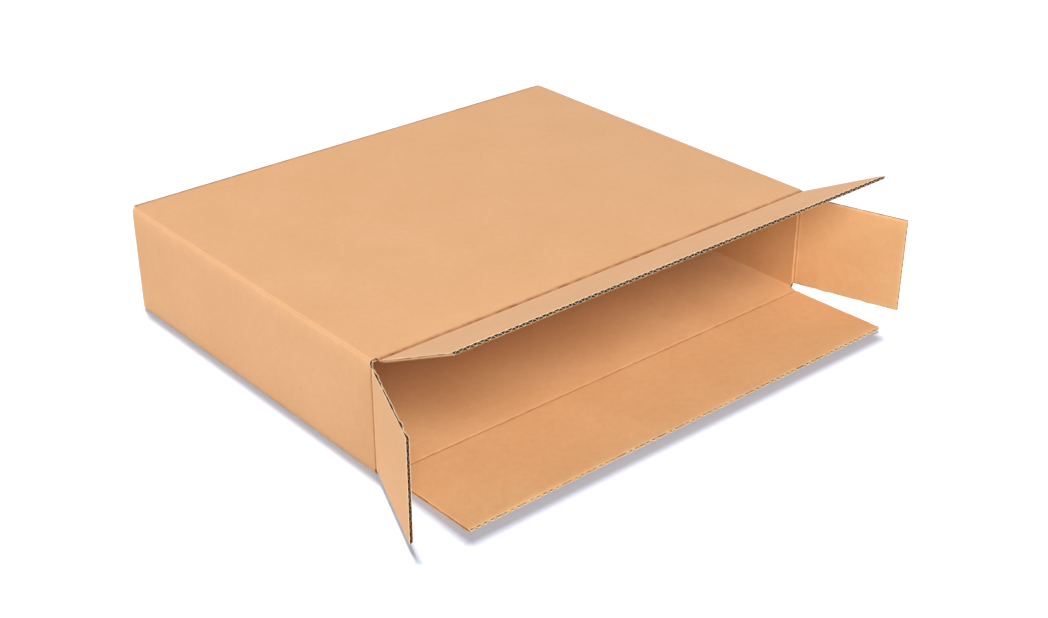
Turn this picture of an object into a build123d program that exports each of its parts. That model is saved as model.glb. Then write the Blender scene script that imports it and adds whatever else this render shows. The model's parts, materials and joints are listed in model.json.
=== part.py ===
from build123d import *
import os
from math import acos, cos, floor, pi, radians, sin, tan

os.makedirs("parts", exist_ok=True)

# A side-opening corrugated carton that lies on its bottom panel. Its long opening faces -Y and
# its four front flaps stand open. The rear flaps are folded in and glued. All sizes are in
# millimetres, +Z is up, and the origin is the middle of the bottom panel's underside.

# Room inside the closed carton
inside_length = 609.6
inside_depth = 457.2
inside_height = 122.0

# Corrugated board
board = 4.0
liner = 0.45
medium = 0.5
flute_pitch = 8.15
flute_crush = 0.1
flute_edge = 0.8

# Folds between the panels run along the flutes and are rounder than those across them. The glued
# joint is along the upper right edge.
fold_radius = 4.5
inner_fold_radius = 0.8
rear_fold_radius = 3.5
tab_fold_radius = 2.0
joint_inset = 1.0
tab_width = 32.0
tab_start = 14.0
tab_taper = 15.0

# Scored hinge lines of the front flaps
score_depth = 1.4
score_nose = 0.8
score_clearance = 0.4
score_crush = 5.0
fold_in = 90.0
fold_back = 120.0
bevel_spare = 1.0

# Slots between the flaps, and the flaps themselves. The top panel's flaps end nearer to its cut
# edge at the glued joint than to a fold.
slot = 8.0
joint_cutback = 3.5
slot_run = 2.0
nest_gap = 0.4
flap_end_gap = 0.6
outer_flap_lap = 2.6
side_reach = 130.0

# How far each flap stands from straight out of its panel, outwards positive
top_open = 27.0
bottom_open = -0.8
left_open = 22.5
right_open = 17.0

# Outer sizes
outer_length = inside_length + 2 * board
outer_height = inside_height + 2 * board
half_length = outer_length / 2

# Stations along the depth. The bottom flap closes over the top flap, and that one over the
# side flaps, so each score lies one layer further back than the one outside it.
layer = board + nest_gap
front_depth = 2 * layer + board - score_depth
rear_layers = 3 * board
body_depth = front_depth + inside_depth + rear_layers
bottom_score = -body_depth / 2
top_score = bottom_score + layer
side_score = top_score + layer
tube_front = side_score + slot_run
rear_inside = bottom_score + front_depth + inside_depth
rear_minor = rear_inside + board
rear_inner_major = rear_minor + board
rear_face = rear_inner_major + board

# Flap sizes. The long flaps each cover the whole opening.
bottom_width = outer_length - 2 * slot
top_width = outer_length - slot - joint_cutback
top_middle = (slot - joint_cutback) / 2
side_width = outer_height - 2 * slot
top_reach = outer_height - score_depth - board - flap_end_gap
bottom_reach = outer_height - score_depth - outer_flap_lap

# Each front flap: name, middle of its score, the way its outer face looks, width, reach, angle
flaps = [
    ("top_flap", (top_middle, top_score, outer_height - score_depth), (0, 0, 1),
     top_width, top_reach, top_open),
    ("bottom_flap", (0, bottom_score, score_depth), (0, 0, -1),
     bottom_width, bottom_reach, bottom_open),
    ("left_flap", (score_depth - half_length, side_score, outer_height / 2), (-1, 0, 0),
     side_width, side_reach, left_open),
    ("right_flap", (half_length - score_depth, side_score, outer_height / 2), (1, 0, 0),
     side_width, side_reach, right_open),
]


def score_plane(middle, outward, opened=0):
    """Plane across a score: x runs out along the flap at its angle, y along its outer normal."""
    straight = Vector(0, -1, 0)
    out = Vector(*outward)
    along = straight * cos(radians(opened)) + out * sin(radians(opened))
    return Plane(origin=middle, x_dir=along, z_dir=straight.cross(out))


# Section of a score. The panel and the flap are bevelled on both faces, so that the flap can
# fold in and back, and the flap keeps a crushed nose round the hinge line.
inner_depth = board - score_depth
back_bevel = fold_back / 2 + bevel_spare
in_bevel = fold_in / 2 + bevel_spare
back_slope = tan(radians(back_bevel))
in_slope = tan(radians(in_bevel))
nose_start = (score_nose * sin(radians(back_bevel)), score_nose * cos(radians(back_bevel)))
nose_end = (score_nose * sin(radians(in_bevel)), -score_nose * cos(radians(in_bevel)))
flap_root = [
    nose_end,
    (inner_depth * in_slope, -inner_depth),
    (score_crush, -inner_depth),
    (score_crush, score_depth),
    (score_depth * back_slope, score_depth),
    nose_start,
]
panel_tip = score_nose + score_clearance


def panel_end(length):
    """Section of a panel from its bevelled front end, back over the given length."""
    return [
        (-length, score_depth),
        (-score_depth * back_slope - score_clearance, score_depth),
        (-panel_tip, score_nose / back_slope),
        (-panel_tip, -score_nose / in_slope),
        (-inner_depth * in_slope - score_clearance, -inner_depth),
        (-length, -inner_depth),
    ]


# Section of the flutes: the wavy medium leaves an open channel above and below each bend,
# and its bends are pressed flat where they are glued to the liners
core_half = board / 2 - liner
wave = core_half - medium / 2 + flute_crush
core_middle = score_depth - board / 2


def channel_half_width(height):
    """Half the width of an upper channel at a height above the middle of the board."""
    return flute_pitch / (2 * pi) * acos((medium / 2 - height) / wave)


channel_floor = medium - core_half
channel_heights = [core_half, channel_floor / 3, channel_floor]
channel_right = [(channel_half_width(h), h) for h in channel_heights]
upper_channel = channel_right + [(-x, h) for x, h in reversed(channel_right)]
lower_channel = [(x, -h) for x, h in upper_channel]


# Body: four panels folded into a tube, a tab glued inside the last fold, and the rear flaps
with BuildPart() as box_body:
    with BuildSketch(Plane.XZ.offset(-tube_front)) as tube:
        with Locations((0, outer_height / 2)):
            Rectangle(outer_length, outer_height)
        corners = tube.vertices().sort_by(Axis.Y)
        top_left = corners[2:].sort_by(Axis.X)[0]
        fillet(corners[:2] + [top_left], radius=fold_radius)
        with Locations((half_length, outer_height)):
            Rectangle(joint_inset, board, align=(Align.MAX, Align.MAX), mode=Mode.SUBTRACT)
        with Locations((half_length - tab_fold_radius, outer_height - board - tab_fold_radius)):
            Rectangle(tab_fold_radius, tab_fold_radius, align=Align.MIN, mode=Mode.SUBTRACT)
            Circle(tab_fold_radius)
        with Locations((0, outer_height / 2)):
            RectangleRounded(inside_length, inside_height, inner_fold_radius, mode=Mode.SUBTRACT)
    extrude(amount=tube_front - rear_inside)

    # Front ends of the four panels, bevelled at their scores
    for name, middle, outward, width, reach, opened in flaps:
        with BuildSketch(score_plane(middle, outward)):
            Polygon(*panel_end(tube_front - middle[1]), align=None)
        extrude(amount=width / 2, both=True)

    # Glue tab, folded in from the right panel and stuck under the top panel
    tab_root = half_length - board
    tab_slant = tab_width * tan(radians(tab_taper))
    tab_front = side_score + tab_start
    tab_rear = rear_inside - tab_start
    with BuildSketch(Plane.XY.offset(outer_height - 2 * board)):
        Polygon(
            (tab_root, tab_front),
            (tab_root, tab_rear),
            (tab_root - tab_width, tab_rear - tab_slant),
            (tab_root - tab_width, tab_front + tab_slant),
            align=None,
        )
    extrude(amount=board)

    # Short rear flaps, folded in first
    with BuildSketch(Plane.XY.offset(slot)) as short_flap:
        with Locations((-half_length, rear_inside)):
            Rectangle(score_depth + side_reach, board, align=Align.MIN)
        fillet(short_flap.vertices().group_by(Axis.X)[0].sort_by(Axis.Y)[-1], radius=rear_fold_radius)
        mirror(about=Plane.YZ)
    extrude(amount=side_width)

    # Long rear flap from the top panel, glued over the short ones
    with BuildSketch(Plane.YZ.offset(top_middle)) as inner_flap:
        Polygon(
            (rear_inside, outer_height),
            (rear_inner_major, outer_height),
            (rear_inner_major, board + flap_end_gap),
            (rear_minor, board + flap_end_gap),
            (rear_minor, outer_height - board),
            (rear_inside, outer_height - board),
            align=None,
        )
        fillet(inner_flap.vertices().group_by(Axis.X)[-1].sort_by(Axis.Y)[-1], radius=rear_fold_radius)
    extrude(amount=top_width / 2, both=True)

    # Long rear flap from the bottom panel, glued over all the others
    with BuildSketch(Plane.YZ) as outer_flap:
        Polygon(
            (rear_inside, 0),
            (rear_face, 0),
            (rear_face, score_depth + bottom_reach),
            (rear_inner_major, score_depth + bottom_reach),
            (rear_inner_major, board),
            (rear_inside, board),
            align=None,
        )
        fillet(outer_flap.vertices().group_by(Axis.X)[-1].sort_by(Axis.Y)[0], radius=rear_fold_radius)
    extrude(amount=bottom_width / 2, both=True)

box_body.part.label = "box_body"
export_step(box_body.part, "parts/box_body.step")

# Front flaps: fluted board from the crushed score to the cut edge
for name, middle, outward, width, reach, opened in flaps:
    with BuildPart() as flap:
        hinge = score_plane(middle, outward, opened)
        with BuildSketch(hinge):
            with BuildLine():
                Polyline(*flap_root)
                ThreePointArc(nose_start, (-score_nose, 0), nose_end)
            make_face()
        extrude(amount=width / 2, both=True)

        crush_line = hinge.origin + hinge.x_dir * score_crush
        row = (width / 2 + channel_right[0][0] - flute_edge) / flute_pitch
        upper_count = 2 * floor(row) + 1
        lower_count = 2 * floor(row + 0.5)
        with BuildSketch(Plane(origin=crush_line, x_dir=-hinge.z_dir, z_dir=hinge.x_dir)):
            with Locations((0, core_middle)):
                Rectangle(width, board)
            with Locations((0, core_middle)):
                with GridLocations(flute_pitch, 0, upper_count, 1):
                    Polygon(*upper_channel, align=None, mode=Mode.SUBTRACT)
                with GridLocations(flute_pitch, 0, lower_count, 1):
                    Polygon(*lower_channel, align=None, mode=Mode.SUBTRACT)
        extrude(amount=reach - score_crush)

    flap.part.label = name
    export_step(flap.part, f"parts/{name}.step")
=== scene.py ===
import json
import math
import bmesh
import bpy
from mathutils import Matrix, Vector, noise

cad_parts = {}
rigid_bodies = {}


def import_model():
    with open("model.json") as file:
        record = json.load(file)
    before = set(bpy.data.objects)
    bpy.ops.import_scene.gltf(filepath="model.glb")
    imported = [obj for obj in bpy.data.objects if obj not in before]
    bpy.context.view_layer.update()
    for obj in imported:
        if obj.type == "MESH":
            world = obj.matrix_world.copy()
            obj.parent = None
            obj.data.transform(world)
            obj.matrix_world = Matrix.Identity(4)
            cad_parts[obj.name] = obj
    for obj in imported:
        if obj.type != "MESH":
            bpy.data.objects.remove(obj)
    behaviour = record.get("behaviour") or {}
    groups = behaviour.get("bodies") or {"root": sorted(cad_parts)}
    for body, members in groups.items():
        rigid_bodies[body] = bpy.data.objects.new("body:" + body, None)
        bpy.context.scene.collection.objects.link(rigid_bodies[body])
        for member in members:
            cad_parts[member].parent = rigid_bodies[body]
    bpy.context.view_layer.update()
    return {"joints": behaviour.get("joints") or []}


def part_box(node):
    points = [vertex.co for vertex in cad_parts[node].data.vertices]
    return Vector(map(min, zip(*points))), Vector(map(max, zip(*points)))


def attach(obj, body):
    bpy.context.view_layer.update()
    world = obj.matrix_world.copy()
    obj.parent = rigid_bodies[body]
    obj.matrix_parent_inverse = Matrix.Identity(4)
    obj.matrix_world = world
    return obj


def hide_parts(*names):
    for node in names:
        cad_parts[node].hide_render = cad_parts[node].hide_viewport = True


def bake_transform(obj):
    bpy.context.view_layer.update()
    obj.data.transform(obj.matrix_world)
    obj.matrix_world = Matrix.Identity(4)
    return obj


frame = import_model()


# The body. One sheet of brown corrugated board, creased along its flutes and folded into a tube
# of four panels. The narrow tab at the end of the sheet is folded in at the upper right edge and
# glued under the top panel. The board is two kraft liners with a wavy medium glued between them.
board = 0.004
liner = 0.00045
medium = 0.0003
flute_pitch = 0.00815
flute_fill = 0.92
flute_points = 8
flute_recess = 0.0003
score_depth = 0.0014
slot = 0.008
slot_run = 0.002

# The folds between the panels. Below the long left fold the left face is painted paler, as
# painted light that fades down over a band.
fold_radius = 0.0045
inner_fold_radius = 0.0008
fold_steps = 6
fold_band = 0.016

# The glued joint. The top panel's cut edge there is pressed thin over its last 3 mm.
joint_inset = 0.001
joint_press = 0.003
joint_squeeze = 0.0011
tab_fold_radius = 0.002
tab_fold_steps = 4
tab_width = 0.032
tab_start = 0.014
tab_taper = 15
tab_slant = tab_width * math.tan(math.radians(tab_taper))

# Where each panel's paper starts on the flat sheet's map, so that no two show the same stretch
panel_start = {"top_flap": 0.0, "bottom_flap": 2.0, "left_flap": 4.0, "right_flap": 6.0}

hinges = {joint["child"]: joint for joint in frame["joints"]}
half_length, rear_face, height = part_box("box_body")[1]
tube_front = hinges["left_flap"]["pos_m"][1] + slot_run
tube_rear = rear_face - 3 * board
side_width = height - 2 * slot


def linear(code):
    """An sRGB hex colour as linear values."""
    values = [int(code[i:i + 2], 16) / 255 for i in (0, 2, 4)]
    return [v / 12.92 if v <= 0.04045 else ((v + 0.055) / 1.055) ** 2.4 for v in values] + [1.0]


def add_node(tree, kind, inputs=None, **settings):
    """Adds a node. Each input is a plain value or the output socket that feeds it."""
    node = tree.nodes.new(kind)
    for key, value in settings.items():
        setattr(node, key, value)
    for key, value in (inputs or {}).items():
        if isinstance(value, bpy.types.NodeSocket):
            tree.links.new(value, node.inputs[key])
        else:
            node.inputs[key].default_value = value
    return node


def kraft(name, colour, dark_colour, clouds=1.0):
    """Unbleached kraft paper as it comes off the machine: matt, a little cloudy where the pulp
    lies thicker, with fine fibres along the machine direction and a few flecks of bark. It is
    drawn on the flat sheet's map, in metres across and along the flutes."""
    material = bpy.data.materials.new(name)
    material.use_nodes = True
    tree = material.node_tree
    shader = tree.nodes["Principled BSDF"]
    shader.inputs["Specular IOR Level"].default_value = 0.3
    shader.inputs["Sheen Weight"].default_value = 0.08
    shader.inputs["Sheen Roughness"].default_value = 0.4
    sheet = add_node(tree, "ShaderNodeUVMap", uv_map="sheet").outputs["UV"]

    # Clouds a hand's width across, and smaller ones of about 1 cm within them
    cloud_size = 0.09
    floc_size = 0.010
    wide = add_node(tree, "ShaderNodeTexNoise", {"Vector": sheet, "Scale": 1 / cloud_size, "Detail": 2.0})
    floc = add_node(tree, "ShaderNodeTexNoise",
                    {"Vector": sheet, "Scale": 1 / floc_size, "Detail": 3.0, "Roughness": 0.6})
    cloud = add_node(tree, "ShaderNodeMix", {0: 0.45, 2: wide.outputs["Fac"], 3: floc.outputs["Fac"]},
                     data_type="FLOAT")
    share = add_node(tree, "ShaderNodeMapRange",
                     {"Value": cloud.outputs[0], "From Min": 0.36, "From Max": 0.64,
                      "To Min": 0.5 + 0.5 * clouds, "To Max": 0.5 - 0.5 * clouds})
    tint = add_node(tree, "ShaderNodeMix",
                    {0: share.outputs["Result"], 6: linear(colour), 7: linear(dark_colour)},
                    data_type="RGBA")

    # Fibres about 4 mm long and half a millimetre wide, which is coarser than real ones, to show
    fibre_length = 0.004
    fibre_width = 0.0005
    along = add_node(tree, "ShaderNodeMapping",
                     {"Vector": sheet, "Scale": (1 / fibre_length, 1 / fibre_width, 1)})
    fibre = add_node(tree, "ShaderNodeTexNoise",
                     {"Vector": along.outputs["Vector"], "Scale": 1.0, "Detail": 3.0, "Roughness": 0.65})
    fibre_tone = add_node(tree, "ShaderNodeMapRange",
                          {"Value": fibre.outputs["Fac"], "From Min": 0.25, "From Max": 0.75,
                           "To Min": 0.95, "To Max": 1.05})

    # Flecks of bark: only the few highest spots of a fine noise, so they lie far apart
    fleck_length = 0.006
    fleck_width = 0.003
    spread = add_node(tree, "ShaderNodeMapping",
                      {"Vector": sheet, "Scale": (1 / fleck_length, 1 / fleck_width, 1)})
    fleck = add_node(tree, "ShaderNodeTexNoise",
                     {"Vector": spread.outputs["Vector"], "Scale": 1.0, "Detail": 1.0})
    fleck_tone = add_node(tree, "ShaderNodeMapRange",
                          {"Value": fleck.outputs["Fac"], "From Min": 0.70, "From Max": 0.80,
                           "To Min": 1.0, "To Max": 0.84})

    # Where a score has pressed the sheet it is browner, and paler where a bend or a cut stretches it,
    # in some places more than in others. The same mark also holds painted highlights, painted light
    # and painted shade at the folds and creases. A full press takes these shares of red, green, blue.
    patch_size = 0.014
    press_takes = (-0.37, -0.49, -0.56)
    press = add_node(tree, "ShaderNodeAttribute", attribute_name="press")
    uneven = add_node(tree, "ShaderNodeTexNoise",
                      {"Vector": sheet, "Scale": 1 / patch_size, "Detail": 2.0})
    patchy = add_node(tree, "ShaderNodeMapRange",
                      {"Value": uneven.outputs["Fac"], "From Min": 0.3, "From Max": 0.7,
                       "To Min": 0.55, "To Max": 1.3})
    pressed = add_node(tree, "ShaderNodeMath", {0: press.outputs["Fac"], 1: patchy.outputs["Result"]},
                       operation="MULTIPLY")
    press_and_painted_light_tint = add_node(tree, "ShaderNodeVectorMath",
                       {0: pressed.outputs["Value"], 1: press_takes, 2: (1.0, 1.0, 1.0)},
                       operation="MULTIPLY_ADD")

    tone = add_node(tree, "ShaderNodeMath",
                    {0: fibre_tone.outputs["Result"], 1: fleck_tone.outputs["Result"]},
                    operation="MULTIPLY")
    paper = add_node(tree, "ShaderNodeVectorMath", {0: tint.outputs[2], 1: press_and_painted_light_tint.outputs["Vector"]},
                     operation="MULTIPLY")
    paint = add_node(tree, "ShaderNodeVectorMath",
                     {0: paper.outputs["Vector"], 3: tone.outputs["Value"]}, operation="SCALE")
    tree.links.new(paint.outputs["Vector"], shader.inputs["Base Color"])

    rough = add_node(tree, "ShaderNodeMapRange",
                     {"Value": fibre.outputs["Fac"], "To Min": 0.78, "To Max": 0.95})
    tree.links.new(rough.outputs["Result"], shader.inputs["Roughness"])

    # The flutes behind the liner lift it very slightly, and the fibres give it a fine tooth. At a
    # scale of 1 the wave repeats every pi / 10.
    washboard = add_node(tree, "ShaderNodeTexWave",
                         {"Vector": sheet, "Scale": math.pi / (10 * flute_pitch)})
    tooth = add_node(tree, "ShaderNodeMath",
                     {0: washboard.outputs["Fac"], 1: 0.10, 2: fibre.outputs["Fac"]},
                     operation="MULTIPLY_ADD")
    bump = add_node(tree, "ShaderNodeBump",
                    {"Height": tooth.outputs["Value"], "Strength": 0.35, "Distance": 0.0001})
    tree.links.new(bump.outputs["Normal"], shader.inputs["Normal"])
    return material


# The outer liner is pressed smooth against the dryers, so it is the most even and the reddest.
# The inner one is a little paler and yellower.
outer_kraft = kraft("kraft_liner_outside", "E4AF80", "DEA875", clouds=0.7)
inner_kraft = kraft("kraft_liner_inside", "ECBD89", "E4B07C", clouds=0.8)

# The medium is recycled and much darker, and is seen only between the liners. Where the knife has
# cut, torn fibres make each paper paler than its face.
flute_kraft = kraft("recycled_fluting_medium", "663C1C", "523015")
# The medium's cut-edge brown also paints the top flap's lower cut edge darker, as painted shade
core_edge_and_painted_shade_kraft = kraft("fluting_cut_edge_and_painted_shade", "CC9A66", "B07E4E")
edge_kraft = kraft("kraft_cut_edge", "F0D5B4", "E4C6A0")


def pick(piece, kind, test):
    """Selects the elements whose middle passes the test, in edit mode."""
    bpy.ops.mesh.select_all(action="DESELECT")
    bpy.ops.mesh.select_mode(type=kind)
    shape = bmesh.from_edit_mesh(piece.data)
    for element in {"VERT": shape.verts, "EDGE": shape.edges, "FACE": shape.faces}[kind]:
        if kind == "VERT":
            middle = element.co
        elif kind == "EDGE":
            middle = (element.verts[0].co + element.verts[1].co) / 2
        else:
            middle = element.calc_center_median()
        if test(middle, element):
            element.select_set(True)
    shape.select_flush_mode()
    bmesh.update_edit_mesh(piece.data)


def near(a, b):
    """Whether two places are the same, to a hundredth of a millimetre."""
    return abs(a - b) < 1e-5


def thicken(piece, thickness, offset, face, edge):
    """Gives a sheet its thickness, with the edge material on its cut edges."""
    piece.data.materials.append(face)
    piece.data.materials.append(edge)
    solid = piece.modifiers.new("thickness", "SOLIDIFY")
    solid.thickness = thickness
    solid.offset = offset
    solid.material_offset_rim = 1
    bpy.context.view_layer.objects.active = piece
    bpy.ops.object.modifier_apply(modifier=solid.name)


def join(pieces, name):
    """Glues the layers of a board to one piece, smooth over its waves and folds."""
    bpy.ops.object.select_all(action="DESELECT")
    for piece in pieces:
        piece.select_set(True)
    bpy.context.view_layer.objects.active = pieces[0]
    bpy.ops.object.join()
    pieces[0].name = pieces[0].data.name = name
    bpy.ops.object.shade_smooth_by_angle(angle=math.radians(40))
    return pieces[0]


def folded_liner(depth, radius, tab_radius):
    """One liner of the folded sheet, as a surface at a depth below the board's outer face."""
    outside = radius == fold_radius
    bpy.ops.object.select_all(action="DESELECT")
    bpy.ops.mesh.primitive_cube_add(size=1, location=(0, (tube_front + tube_rear) / 2, height / 2))
    piece = bpy.context.object
    piece.scale = (2 * (half_length - depth), tube_rear - tube_front, height - 2 * depth)
    bpy.ops.object.transform_apply(location=True, rotation=True, scale=True)
    side, top = half_length - depth, height - depth

    # Open the ends and round the four edges between them
    bpy.ops.object.mode_set(mode="EDIT")
    pick(piece, "FACE", lambda m, f: abs(f.normal.y) > 0.9)
    bpy.ops.mesh.delete(type="FACE")
    pick(piece, "EDGE", lambda m, e: abs(e.verts[0].co.y - e.verts[1].co.y) > 0.1)
    bpy.ops.mesh.bevel(offset=radius, segments=fold_steps, affect="EDGES")

    # A band below the long left fold, over which its painted light fades out
    if outside:
        pick(piece, "FACE", lambda m, f: near(m.x, -side))
        bpy.ops.mesh.bisect(plane_co=(0, 0, top - radius - fold_band), plane_no=(0, 0, 1))

    # Open the upper right edge, where the sheet begins and ends, and press the cut edge there
    pick(piece, "FACE", lambda m, f: m.x > side - radius and m.z > top - radius)
    bpy.ops.mesh.delete(type="FACE")
    for end in (tube_front + tab_start, tube_rear - tab_start):
        bpy.ops.mesh.select_all(action="SELECT")
        bpy.ops.mesh.bisect(plane_co=(0, end, 0), plane_no=(0, 1, 0))
    pick(piece, "VERT", lambda m, v: near(m.x, side - radius) and near(m.z, top))
    bpy.ops.transform.translate(value=(depth + radius - joint_inset, 0, 0))
    pick(piece, "FACE", lambda m, f: near(m.z, top))
    bpy.ops.mesh.bisect(plane_co=(half_length - joint_inset - joint_press, 0, 0), plane_no=(1, 0, 0))
    pick(piece, "VERT", lambda m, v: near(m.x, half_length - joint_inset) and near(m.z, top))
    bpy.ops.transform.translate(value=(0, 0, -joint_squeeze if outside else joint_squeeze))
    pick(piece, "VERT", lambda m, v: near(m.x, side) and near(m.z, top - radius))
    bpy.ops.transform.translate(value=(0, 0, radius - board - tab_radius))

    # Fold the tab in and taper it
    fold_z = top - board - tab_radius
    pick(piece, "EDGE", lambda m, e: near(m.x, side) and near(m.z, fold_z)
         and near(e.verts[0].co.z, e.verts[1].co.z))
    bpy.ops.mesh.spin(
        steps=tab_fold_steps, angle=-math.pi / 2, center=(side - tab_radius, 0, fold_z), axis=(0, 1, 0))
    tab_z = top - board
    pick(piece, "EDGE", lambda m, e: near(m.x, side - tab_radius) and near(m.z, tab_z)
         and near(e.verts[0].co.x, e.verts[1].co.x)
         and tube_front + tab_start < m.y < tube_rear - tab_start)
    tab_end = half_length - board - tab_width
    bpy.ops.mesh.extrude_region_move(
        TRANSFORM_OT_translate={"value": (tab_end - side + tab_radius, 0, 0)})
    for y, move in ((tube_front + tab_start, tab_slant), (tube_rear - tab_start, -tab_slant)):
        pick(piece, "VERT", lambda m, v: near(m.x, tab_end) and near(m.z, tab_z) and near(m.y, y))
        bpy.ops.transform.translate(value=(0, move, 0))
    bpy.ops.mesh.select_all(action="SELECT")
    bpy.ops.mesh.remove_doubles(threshold=1e-6)
    bpy.ops.object.mode_set(mode="OBJECT")
    return piece


# How much the paper is made browner, or paler below zero. A fold is painted paler along its
# middle, as a painted highlight. The lower half of the long left fold, fading over the band below
# it, is painted pale as painted light, with a browner line of painted shade along the fold's middle.
ridge_half = 0.0024
painted_fold_highlight = -0.3
painted_light_band = -0.14
painted_shade_line = 0.34
joint_browning = 0.8


def mark_press_and_painted_light(piece, pressed):
    """Stores each point's mark for the paper's colour: how hard the sheet is pressed there, with
    painted light and shade.
    """
    mark = piece.data.attributes.new("press", "FLOAT", "POINT")
    for vertex in piece.data.vertices:
        mark.data[vertex.index].value = pressed(vertex.co)


def body_press_and_painted_light(point):
    """The outer liner's marks: a painted highlight along each fold, painted light and a line of
    painted shade at the long left fold, and browner along the cut edge at the joint.
    """
    from_side, from_top = half_length - abs(point.x), height / 2 - abs(point.z - height / 2)
    if near(from_side, joint_inset) and near(from_top, joint_squeeze):
        return joint_browning
    if max(from_side, from_top) > fold_radius + 1e-5:
        return 0.0
    in_painted_light_band = from_side < from_top and point.x < 0 and point.z > height / 2
    ridge = max(0.0, 1 - abs(from_side - from_top) / ridge_half)
    return painted_light_band + painted_shade_line * ridge if in_painted_light_band else painted_fold_highlight * ridge


outer = folded_liner(0.0, fold_radius, tab_fold_radius)
mark_press_and_painted_light(outer, body_press_and_painted_light)
thicken(outer, liner, -1, outer_kraft, edge_kraft)
inner = folded_liner(board - liner, inner_fold_radius + liner, inner_fold_radius + liner)
mark_press_and_painted_light(inner, lambda point: 0.0)
thicken(inner, liner, -1, inner_kraft, edge_kraft)


def folded_line():
    """Points along the middle of the folded board, from the top panel's cut edge to the end of
    the tab, each with the way that its outer face looks and its distance along the sheet."""
    side, top, low = half_length - board / 2, height - board / 2, board / 2
    bend = fold_radius - board / 2
    tab_bend = tab_fold_radius * 0.75
    corners = [
        (Vector((-side, 0, top)), Vector((-1, 0, 0)), Vector((0, 0, -1)), bend),
        (Vector((-side, 0, low)), Vector((0, 0, -1)), Vector((1, 0, 0)), bend),
        (Vector((side, 0, low)), Vector((1, 0, 0)), Vector((0, 0, 1)), bend),
        (Vector((side, 0, top - board)), Vector((0, 0, 1)), Vector((-1, 0, 0)), tab_bend),
    ]
    end = Vector((half_length - board - tab_width, 0, top - board))
    at = Vector((half_length - joint_inset, 0, top))
    travelled = 0.0
    for corner, before, after, bend in corners + [(end, Vector((-1, 0, 0)), None, 0.0)]:
        goal = corner - before * bend
        outward = Vector((0, 1, 0)).cross(before)
        run = (goal - at).length
        steps = round(run / flute_pitch * flute_points)
        for i in range(steps + 1):
            yield at.lerp(goal, i / steps), outward, travelled + run * i / steps
        travelled += run
        if after is None:
            break
        centre = goal + after * bend
        for i in range(1, fold_steps):
            turn = math.pi / 2 * i / fold_steps
            way = before * math.sin(turn) - after * math.cos(turn)
            yield centre + way * bend, way, travelled + turn * bend
        travelled += math.pi / 2 * bend
        at = centre + before * bend


def lay_sheet(name, columns, rows, place):
    """Adds a grid and sets each vertex where place puts its column and row. The map is the flat
    sheet's, which place also gives."""
    bpy.ops.object.select_all(action="DESELECT")
    bpy.ops.mesh.primitive_grid_add(
        x_subdivisions=len(columns) - 1, y_subdivisions=len(rows) - 1, size=1)
    piece = bpy.context.object
    piece.name = name
    mesh = piece.data
    maps = []
    for vertex in mesh.vertices:
        column = columns[round((vertex.co.x + 0.5) * (len(columns) - 1))]
        row = rows[round((vertex.co.y + 0.5) * (len(rows) - 1))]
        vertex.co, flat = place(column, row)
        maps.append(flat)
    layer = mesh.uv_layers[0]
    layer.name = "sheet"
    for loop in mesh.loops:
        layer.data[loop.index].uv = maps[loop.vertex_index]
    return piece


def place_body_flute(station, row):
    """A point of the wavy medium. It swings less where the joint's cut edge is pressed."""
    point, outward, along = station
    swing = board / 2 - liner - medium / 2 - joint_squeeze * max(0.0, 1 - along / joint_press)
    wave = swing * flute_fill * math.cos(2 * math.pi * along / flute_pitch)
    return point + outward * wave + Vector((0, row, 0)), (along, row)


flutes = lay_sheet("flutes", list(folded_line()),
                   [tube_front + flute_recess, 0.0, tube_rear - flute_recess], place_body_flute)
thicken(flutes, medium, 0, flute_kraft, edge_kraft)
for piece in (outer, inner):
    mesh = piece.data
    layer = mesh.uv_layers[0]
    layer.name = "sheet"
    for polygon in mesh.polygons:
        level = abs(polygon.normal.z) > abs(polygon.normal.x)
        for index in polygon.loop_indices:
            x, y, z = mesh.vertices[mesh.loops[index].vertex_index].co
            if level:
                flat = (-x, y) if z > height / 2 else (x + panel_start["bottom_flap"], y)
            else:
                flat = (panel_start["left_flap"] - z if x < 0 else z + panel_start["right_flap"], y)
            layer.data[index].uv = flat
body = join([outer, inner, flutes], "box_body_board")
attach(body, "box_body")
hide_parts("box_body")


# The rear end. The short flaps are folded in first, the long one from the top panel goes over
# them, and the long one from the bottom panel closes it. They are glued to each other. Each is
# creased across its flutes, so the board is crushed flat in a narrow band and bends there.
bend_from = -0.0016
bend_to = 0.0036
score_middle = 0.0002
score_half = 0.0024
score_crush = 0.0009
score_rows = [
    -0.0042, -0.0024, -0.0016, -0.0009, -0.0003, score_middle, 0.0007,
    0.0012, 0.0018, 0.0024, 0.003, 0.0036, 0.005,
]
row_step = 0.005

# The knife squeezes the board's cut edges, the inner face more than the outer, over 2 mm or so
edge_press_out = 0.0004
edge_press_in = 0.0024
edge_zone = 0.0024
edge_start = 0.003
end_zone = 0.0018
end_uneven = 0.5
most_pinched = 0.97

# A flap is never quite flat, and its flutes never quite straight
drift_depth = 0.0006
flute_wander = 0.006

# A plain core: its thickness, its paper and that paper's cut edge
open_core = (medium, flute_kraft, core_edge_and_painted_shade_kraft)

# Browner and paler stripes across a flap: how strong, how far out its middle is, half its width.
# The browner ones are partly painted shade in the crease, the paler ones partly painted highlight.
top_crease_and_shade = (1.15, -0.0016, 0.0048)
top_stretch_and_highlight = (-0.3, 0.0048, 0.0026)
crease_press_and_shade = 1.1
crease_half = 0.0023
stretch_and_highlight = (-0.25, 0.0044, 0.0026)
inner_crease_and_shade = (0.75, score_middle, 0.0027)
rim_press = -0.45
rim_width = 0.0016


def smooth(t):
    """Rises gently from 0 to 1 as t does, and stays there."""
    t = min(max(t, 0.0), 1.0)
    return t * t * (3 - 2 * t)


def stripe(y, strength, middle, half):
    """The strength of a stripe at y, full in its middle and fading to nothing at its edges."""
    return strength * smooth(1 - abs(y - middle) / half)


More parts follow.
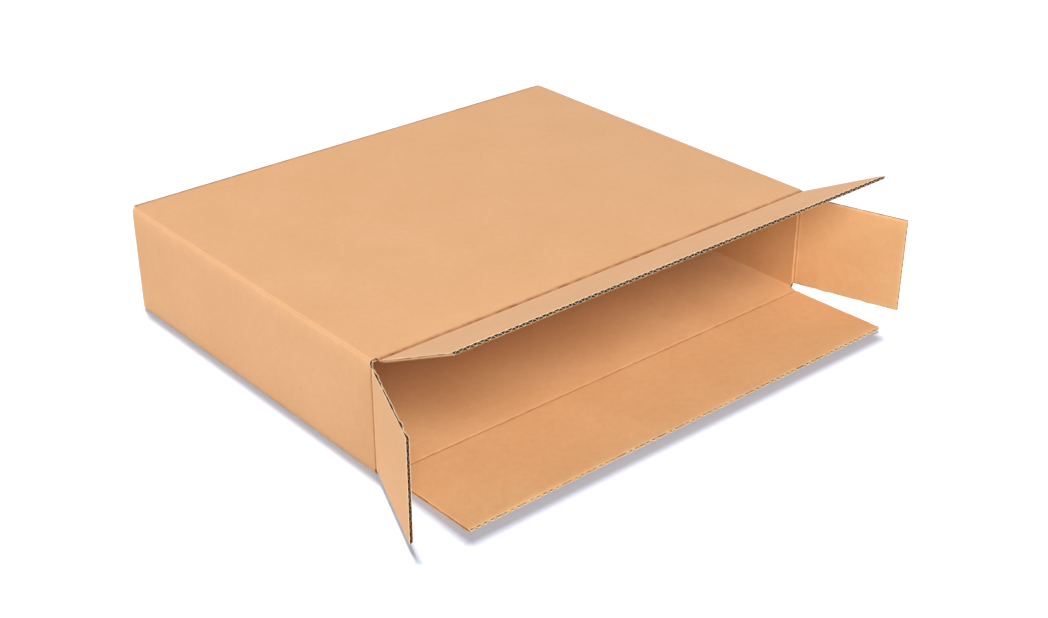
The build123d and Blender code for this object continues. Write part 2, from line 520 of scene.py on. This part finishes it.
def flap_board(name, score, along, outward, width, reach, back, angle, seed, shift,
               cut=(0.8, 0.3, 0.15), pressed_at=score_middle, core=open_core,
               inner_edge=edge_kraft, recess=0.0):
    """A flap with the strip of its panel behind the score. The layers are laid flat, with x
    across, y out from the score and z towards the outer face, then bent and set in place. The cut
    is how hard its side edges are squeezed, how unevenly, and how hard its end is. The medium
    stops short of the side edges by the recess."""
    side_pinch, side_uneven, end_pinch = cut
    core_thick, core_face, core_edge = core
    across = along.cross(outward)
    panel_across = Vector((0, -1, 0)).cross(outward)
    edge = width / 2
    open_end = reach - end_zone
    count = math.ceil((open_end - score_rows[-1]) / row_step)
    rows = [-back] if min(abs(back + y) for y in score_rows) > 1e-6 else []
    rows += [y for y in score_rows if y > -back - 1e-6]
    rows += [score_rows[-1] + (open_end - score_rows[-1]) * (i + 1) / count for i in range(count)]
    rows += [reach - end_zone / 2, reach]

    def pinch(x, y):
        """How far the cut edges are squeezed together, as a share. It varies every cm or so."""
        side = smooth(1 - (edge - abs(x)) / edge_zone) * smooth((y + back) / edge_start)
        end = smooth(1 - (reach - y) / end_zone)
        side *= side_pinch + side_uneven * noise.noise(Vector((y * 90, math.copysign(9, x), seed)))
        end *= end_pinch + end_uneven * noise.noise(Vector((x * 70, seed, 3)))
        return min(max(side, end, 0.0), most_pinched)

    def drift(x, y):
        """A slight waviness of the whole flap, always inwards."""
        sway = 0.5 + 0.5 * noise.noise(Vector((x * 5, y * 6, seed + 7)))
        return -drift_depth * smooth(y / reach) * sway

    def crush(y):
        return stripe(y, 1.0, score_middle, score_half)

    def top(x, y):
        return score_depth - score_crush * crush(y) - edge_press_out * pinch(x, y) + drift(x, y)

    def low(x, y):
        return score_depth - board + score_crush * crush(y) + edge_press_in * pinch(x, y) + drift(x, y)

    def wave(x, y):
        """The medium. Its flutes wander a little, so a cut along them meets them unevenly."""
        high = top(x, y) - liner - core_thick / 2
        deep = low(x, y) + liner + core_thick / 2
        wander = flute_wander * noise.noise(Vector((3, y * 45, seed + 5))) * smooth(y / 0.01)
        turn = 2 * math.pi * (x + edge + wander) / flute_pitch
        return (high + deep) / 2 + max(high - deep, 0) / 2 * math.sin(turn)

    def lay(level):
        """Lays a layer at its level over the flap, and gives its place on the sheet's map."""
        def place(x, y):
            point = score + across * x + along * y
            return (x, y, level(x, y)), (panel_across.dot(point) + shift, point.y)
        return place

    def rim(point):
        """Paler where the paper is stretched over a cut edge."""
        inset = min(edge - abs(point.x) if point.y > edge_start else 1.0, reach - point.y)
        return rim_press * smooth(1 - inset / rim_width)

    def pressed(point):
        """The outer face: browner in the crease, partly as painted shade, and paler just out from it,
        partly as painted highlight.
        """
        if outward.z > 0:
            return stripe(point.y, *top_crease_and_shade) + stripe(point.y, *top_stretch_and_highlight) + rim(point)
        line = stripe(point.y, crease_press_and_shade, pressed_at, crease_half)
        return line + stripe(point.y, *stretch_and_highlight) + rim(point)

    def inside_press_and_painted_light(point):
        """The inner face: a brown line in the long flaps' creases, partly painted shade, and a pale
        band of painted highlight in the others'.
        """
        if outward.z:
            return stripe(point.y, *inner_crease_and_shade) + rim(point)
        # The side flaps' inner crease: a pale band of painted highlight
        return -0.4 * smooth(1.6 - abs(point.y - 0.001) / 0.0022) + rim(point)

    strip = [edge - edge_zone * i / 4 for i in range(4)]
    spans = max(4, round(width / 0.03))
    columns = [-x for x in strip] + strip
    columns += [(edge - edge_zone) * (2 * i / spans - 1) for i in range(spans + 1)]
    columns.sort()
    wave_spans = round(width / flute_pitch * 10)
    wave_columns = [(width - 2 * recess) * (i / wave_spans - 0.5) for i in range(wave_spans + 1)]

    outer = lay_sheet("outer", columns, rows, lay(top))
    mark_press_and_painted_light(outer, pressed)
    thicken(outer, liner, -1, outer_kraft, edge_kraft)
    inner = lay_sheet("inner", columns, rows, lay(low))
    inner.data.flip_normals()
    mark_press_and_painted_light(inner, inside_press_and_painted_light)
    thicken(inner, liner, -1, inner_kraft, inner_edge)
    flutes = lay_sheet("flutes", wave_columns, rows, lay(wave))
    thicken(flutes, core_thick, 0, core_face, core_edge)
    flap = join([outer, inner, flutes], name)

    place = Matrix.Translation(score) @ Matrix((across, along, outward)).transposed().to_4x4()
    for vertex in flap.data.vertices:
        turn = angle * smooth((vertex.co.y - bend_from) / (bend_to - bend_from))
        vertex.co = place @ Matrix.Rotation(turn, 4, "X") @ vertex.co
    return flap


rear = Vector((0, 1, 0))
up = Vector((0, 0, 1))
right = Vector((1, 0, 0))
top_low, top_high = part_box("top_flap")
bottom_low, bottom_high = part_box("bottom_flap")
top_width = top_high[0] - top_low[0]
top_middle = (top_high[0] + top_low[0]) / 2
bottom_width = bottom_high[0] - bottom_low[0]
fold_in = -math.pi / 2
fold_bulge = 0.0006

# Each flap ends just short of the one in CAD, so that its cut edge stays within that one's box
reach = {"top_flap": 0.1238, "bottom_flap": 0.1257, "left_flap": 0.1298, "right_flap": 0.1298}

# Each rear flap: name, the front flap on the same panel, its way out, its middle, height, layer
for seed, (name, twin, outward, middle, level, layers) in enumerate((
    ("rear_left_flap", "left_flap", -right, score_depth - half_length, height / 2, 1),
    ("rear_right_flap", "right_flap", right, half_length - score_depth, height / 2, 1),
    ("rear_inner_flap", "top_flap", up, top_middle, height - score_depth, 2),
    ("rear_outer_flap", "bottom_flap", -up, 0.0, score_depth, 3),
)):
    width = {"top_flap": top_width, "bottom_flap": bottom_width}.get(twin, side_width)
    score = Vector((middle, tube_rear + layers * board - score_depth - fold_bulge, level))
    flap = flap_board(name, score, rear, outward, width, reach[twin], score.y - tube_rear,
                      fold_in, seed + 11, panel_start[twin], pressed_at=-0.0008)
    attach(flap, "box_body")


# The four front flaps. Each is the same sheet as its panel and bends at its score, with the body
# on one side and the flap on the other, so each piece here runs from the panel to the cut edge.
front = Vector((0, -1, 0))

# Each front flap: name, its way out, width, cut, core, its inner liner's cut edge, and recess.
# The top flap's flutes stand open and dark. The bottom flap's are drawn nearly filled with a pale
# cut edge: partly torn fibres, partly painted light where the front light falls into them.
for seed, (node, outward, width, cut, core, inner_edge, recess) in enumerate((
    # The top flap's inner liner has its cut edge in the medium's darker brown, as painted shade below its
    # lit upper edge
    ("top_flap", up, top_width, (0.8, 0.3, 0.1), (0.0004, flute_kraft, edge_kraft), core_edge_and_painted_shade_kraft, 0.0),
    ("bottom_flap", -up, bottom_width, (0.2, 0.3, 0.1), (0.0014, flute_kraft, edge_kraft),
     edge_kraft, 0.0016),
    ("left_flap", -right, side_width, (0.55, 1.3, 0.15), open_core, edge_kraft, 0.0),
    ("right_flap", right, side_width, (0.55, 1.0, 0.15), open_core, edge_kraft, 0.0),
)):
    score = Vector(hinges[node]["pos_m"])
    if node == "top_flap":
        score.x = top_middle
    opened = math.radians(hinges[node]["range_deg"][1] - 90)
    flap = flap_board(node + "_board", score, front, outward, width, reach[node],
                      tube_front - score.y, opened, seed, panel_start[node], cut, core=core,
                      inner_edge=inner_edge, recess=recess)
    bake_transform(flap)
    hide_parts(node)


# The floor is a plain sheet of matt white card that the box stands on. The camera sees it white
# where light reaches it, with the box's shadow, and the light that it throws back is dimmer.
floor_size = 16
floor_drop = 0.0002
floor_light = (0.475, 0.475, 0.475, 1)
floor_seen = (0.62, 0.665, 0.77, 1)

bpy.ops.object.select_all(action="DESELECT")
bpy.ops.mesh.primitive_plane_add(size=floor_size, location=(0, 0, -floor_drop))
floor = bpy.context.object
floor.name = "studio_floor"
white_card = bpy.data.materials.new("matt_white_card")
white_card.use_nodes = True
floor_tree = white_card.node_tree
floor_ray = add_node(floor_tree, "ShaderNodeLightPath")
floor_mix = add_node(floor_tree, "ShaderNodeMix",
                     {0: floor_ray.outputs["Is Camera Ray"], 6: floor_light, 7: floor_seen},
                     data_type="RGBA")
floor_shader = floor_tree.nodes["Principled BSDF"]
floor_shader.inputs["Roughness"].default_value = 1.0
floor_shader.inputs["Specular IOR Level"].default_value = 0.0
floor_tree.links.new(floor_mix.outputs[2], floor_shader.inputs["Base Color"])
floor.data.materials.append(white_card)


# The light. Large softboxes at the front left and behind on the left, and a small low one at the
# right, light only the box. The floor has a high lamp of its own, a little to the rear, that gives
# the box's narrow shadow, and a fill that keeps it pale.
lamp_target = Vector((0, 0, 0.05))

# The room is dim, but white to the camera. There is no metal or glass here that would mirror it.
room_light = (0.08, 0.08, 0.08, 1)
room_seen = (1, 1, 1, 1)
world = bpy.data.worlds.new("studio")
bpy.context.scene.world = world
world.use_nodes = True
world_ray = add_node(world.node_tree, "ShaderNodeLightPath")
room = add_node(world.node_tree, "ShaderNodeMix",
                {0: world_ray.outputs["Is Camera Ray"], 6: room_light, 7: room_seen},
                data_type="RGBA")
world.node_tree.links.new(room.outputs[2], world.node_tree.nodes["Background"].inputs["Color"])

# The right flap leaves no shadow on the floor, as in the photograph
pieces = bpy.data.collections.new("lit_by_softboxes")
shading = bpy.data.collections.new("shades_the_floor")
for piece in bpy.data.objects:
    if piece.type == "MESH" and piece != floor:
        pieces.objects.link(piece)
        if piece.name != "right_flap_board":
            shading.objects.link(piece)

# Each softbox: name, degrees round from the front, degrees up, distance, size and power in watts
for name, azimuth, elevation, distance, size, power in (
    ("softbox_front", -24, 38, 16.0, 8.0, 2600.0),
    ("softbox_behind", -158, 26, 16.0, 8.0, 2180.0),
    ("softbox_right", 85, 10, 4.0, 1.2, 45.0),
):
    turn, tilt = math.radians(azimuth), math.radians(elevation)
    way = Vector((math.sin(turn) * math.cos(tilt), -math.cos(turn) * math.cos(tilt), math.sin(tilt)))
    bpy.ops.object.select_all(action="DESELECT")
    bpy.ops.object.light_add(type="AREA", location=lamp_target + way * distance)
    lamp = bpy.context.object
    lamp.name = name
    lamp.data.size = size
    lamp.data.energy = power
    lamp.rotation_euler = way.to_track_quat("Z", "Y").to_euler()
    lamp.light_linking.receiver_collection = pieces

# Each lamp for the floor: name, the way to it, strength, spread in degrees, what shades it
floor_only = bpy.data.collections.new("floor_only")
floor_only.objects.link(floor)
for name, way, energy, angle, blockers in (
    ("lamp_for_floor", (0.065, 0.19, 1.0), 4.0, 5.0, shading),
    ("fill_for_floor", (0.0, 0.0, 1.0), 1.6, 5.0, floor_only),
):
    way = Vector(way).normalized()
    bpy.ops.object.select_all(action="DESELECT")
    bpy.ops.object.light_add(type="SUN", location=way * 3)
    lamp = bpy.context.object
    lamp.name = name
    lamp.data.energy = energy
    lamp.data.angle = math.radians(angle)
    lamp.rotation_euler = way.to_track_quat("Z", "Y").to_euler()
    lamp.light_linking.receiver_collection = floor_only
    lamp.light_linking.blocker_collection = blockers


# The camera stands at the front left and looks down at the opening, as in the photograph. Its
# place and lens come from the corners of the box there.
camera_turn = math.radians(-40.66)
camera_tilt = math.radians(27.93)
camera_distance = 1.974
camera_target = Vector((0.0805, 0.0, -0.0422))
camera_lens = 55.25
camera_way = Vector((
    math.sin(camera_turn) * math.cos(camera_tilt),
    -math.cos(camera_turn) * math.cos(camera_tilt),
    math.sin(camera_tilt),
))
bpy.ops.object.select_all(action="DESELECT")
bpy.ops.object.camera_add(location=camera_target + camera_way * camera_distance)
camera = bpy.context.object
camera.name = "camera"
camera.rotation_euler = camera_way.to_track_quat("Z", "Y").to_euler()
camera.data.lens = camera_lens
bpy.context.scene.camera = camera
bpy.context.scene.view_settings.view_transform = "Standard"
